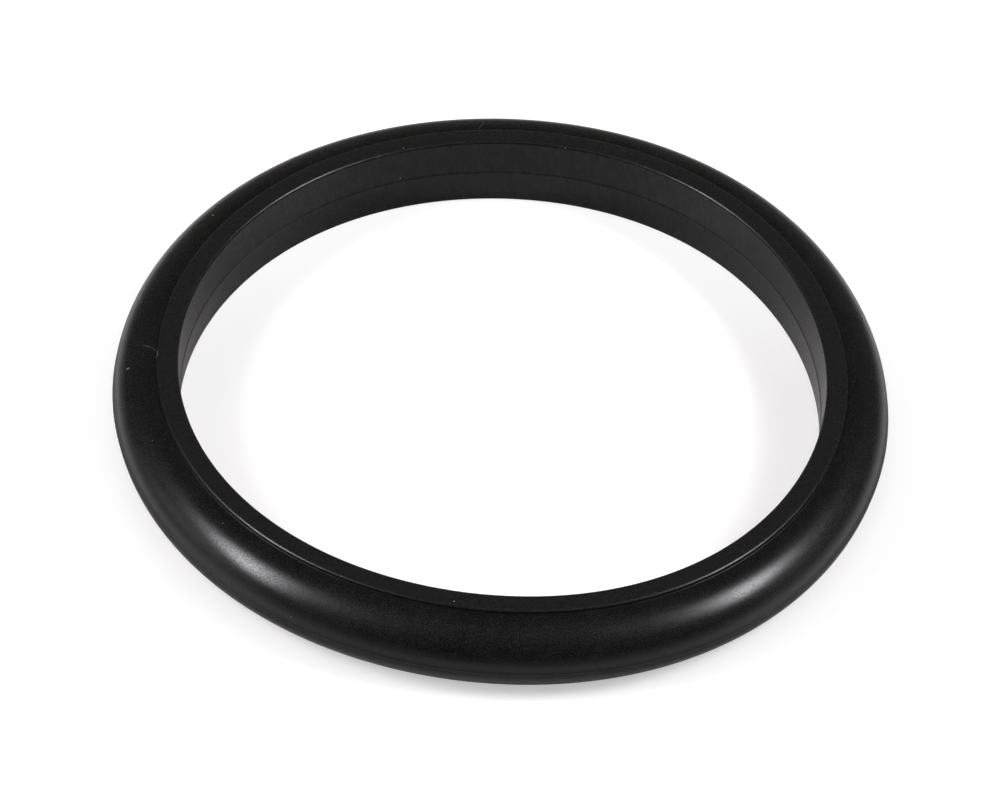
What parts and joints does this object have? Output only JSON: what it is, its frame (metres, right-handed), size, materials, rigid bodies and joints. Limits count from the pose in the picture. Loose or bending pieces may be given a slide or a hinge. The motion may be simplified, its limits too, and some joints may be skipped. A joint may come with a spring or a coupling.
{
  "type": "oil pickup tube seal",
  "caption": "Moulded black rubber seal ring with a drafted bore, flat lands and a half-round outer bead, for the joint of an oil pickup tube.",
  "frame": {"origin": "centre of the lower land, on the surface that the ring lies on", "axes": "+Z along the ring's axis, through the bore, away from the surface"},
  "size_m": [0.0602, 0.0602, 0.0063],
  "materials": {
    "rubber": "satin black moulded rubber with a fine matt grain",
    "lint": "a few loose fibres and specks of dust on the rubber"
  },
  "bodies": {
    "root": {"seal_ring": "rubber"}
  },
  "joints": []
}
